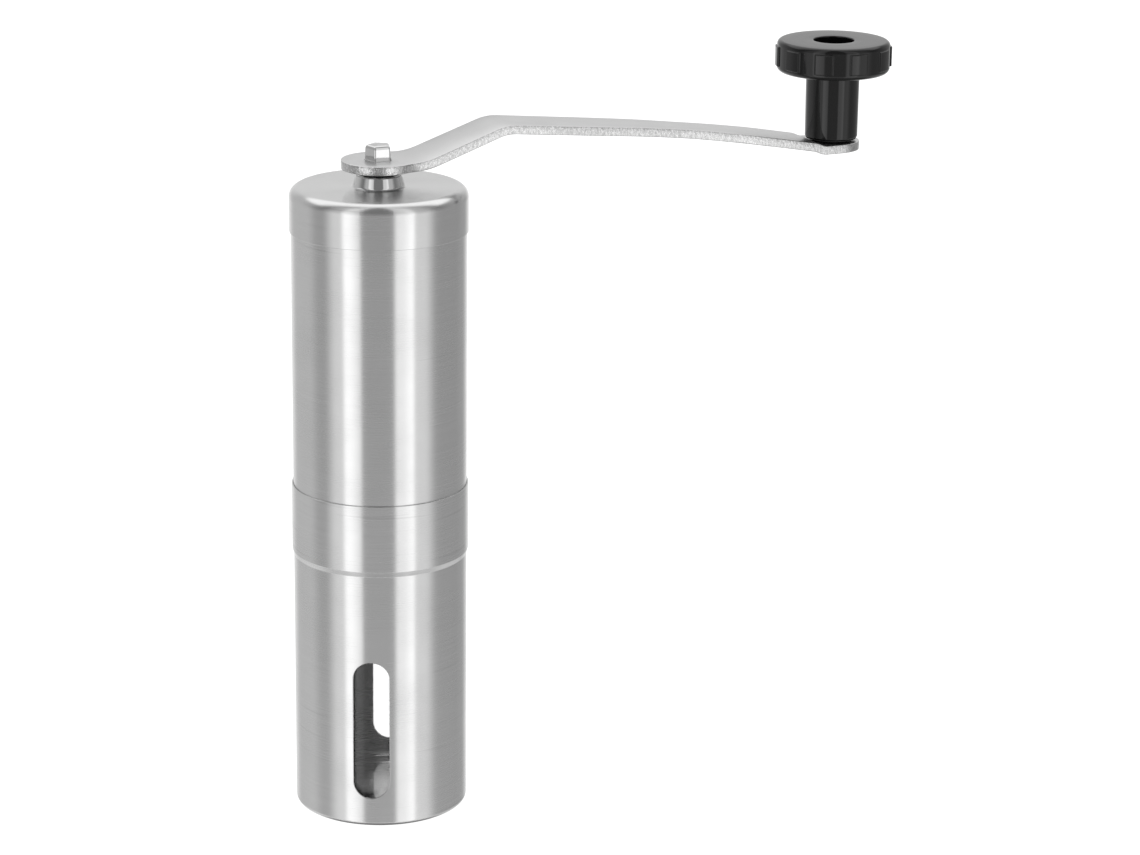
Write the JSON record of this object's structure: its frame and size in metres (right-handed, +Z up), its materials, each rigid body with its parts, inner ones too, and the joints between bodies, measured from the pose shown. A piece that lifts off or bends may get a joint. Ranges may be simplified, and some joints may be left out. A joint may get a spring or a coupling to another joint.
{
  "type": "hand crank coffee grinder",
  "caption": "Slim cylindrical hand coffee grinder: steel hopper tube and grounds chamber with slot windows, lid, conical ceramic burrs, bent flat crank arm and round knob.",
  "frame": {"origin": "centre of the flat base, on the grinder's axis", "axes": "+Z up along the grinder's axis; +X from the shaft towards the crank knob at rest"},
  "size_m": [0.179, 0.0488, 0.2082],
  "materials": {
    "steel_brushed": "brushed around the axis",
    "steel_plated": "satin plated plate with punched edges",
    "steel_bright": "bright turned",
    "spring_steel": "bright",
    "clear_plastic": "clear",
    "black_plastic": "moulded satin",
    "white_nylon": "turned nylon",
    "black_nylon": "moulded nylon",
    "burr_ceramic": "sintered matt",
    "brass_insert": "turned",
    "black_gloss": "gloss moulded"
  },
  "bodies": {
    "lower_chamber": {"chamber_shell": "steel_brushed", "window_liner": "clear_plastic"},
    "grinder_body": {"hopper_tube": "steel_brushed", "burr_housing": "black_plastic", "upper_shaft_bush": "white_nylon", "lower_shaft_bush": "white_nylon", "outer_burr": "burr_ceramic", "burr_retaining_ring": "black_plastic"},
    "drive_shaft": {"drive_shaft": "steel_bright", "shaft_circlip": "spring_steel", "thrust_washer": "spring_steel", "spring_top_washer": "spring_steel", "burr_spring": "spring_steel"},
    "inner_burr": {"inner_burr": "burr_ceramic", "burr_core": "black_plastic", "spring_foot_washer": "spring_steel"},
    "adjuster": {"adjuster_dial": "black_plastic", "adjuster_nut": "brass_insert"},
    "lid": {"lid_cap": "steel_brushed", "lid_bush": "black_nylon"},
    "crank": {"crank_arm": "steel_plated", "knob_pin": "steel_bright", "knob_washer": "black_nylon"},
    "knob": {"crank_knob": "black_gloss"}
  },
  "joints": [
    {"name": "body_lift", "type": "slide", "parent": "lower_chamber", "child": "grinder_body", "axis": [0, 0, 1], "range_m": [0, 0.045]},
    {"name": "crank_spin", "type": "hinge", "parent": "grinder_body", "child": "drive_shaft", "pos_m": [0, 0, 0.1], "axis": [0, 0, 1], "continuous": true},
    {"name": "crank_lift", "type": "slide", "parent": "drive_shaft", "child": "crank", "axis": [0, 0, 1], "range_m": [0, 0.06]},
    {"name": "lid_lift", "type": "slide", "parent": "grinder_body", "child": "lid", "axis": [0, 0, 1], "range_m": [0, 0.03]},
    {"name": "knob_spin", "type": "hinge", "parent": "crank", "child": "knob", "pos_m": [0.1381, 0, 0.195], "axis": [0, 0, 1], "continuous": true},
    {"name": "burr_slide", "type": "slide", "parent": "drive_shaft", "child": "inner_burr", "axis": [0, 0, 1], "range_m": [-0.001, 0.00084], "deforming": ["burr_spring"]},
    {"name": "adjuster_turn", "type": "hinge", "parent": "inner_burr", "child": "adjuster", "pos_m": [0, 0, 0.0696], "axis": [0, 0, 1], "range_deg": [-360, 300]}
  ],
  "couplings": [
    {"joint": "lid_lift", "follows": "crank_lift", "ratio": 0.5},
    {"joint": "burr_slide", "follows": "adjuster_turn", "m_per_rad": 0.00015915}
  ]
}
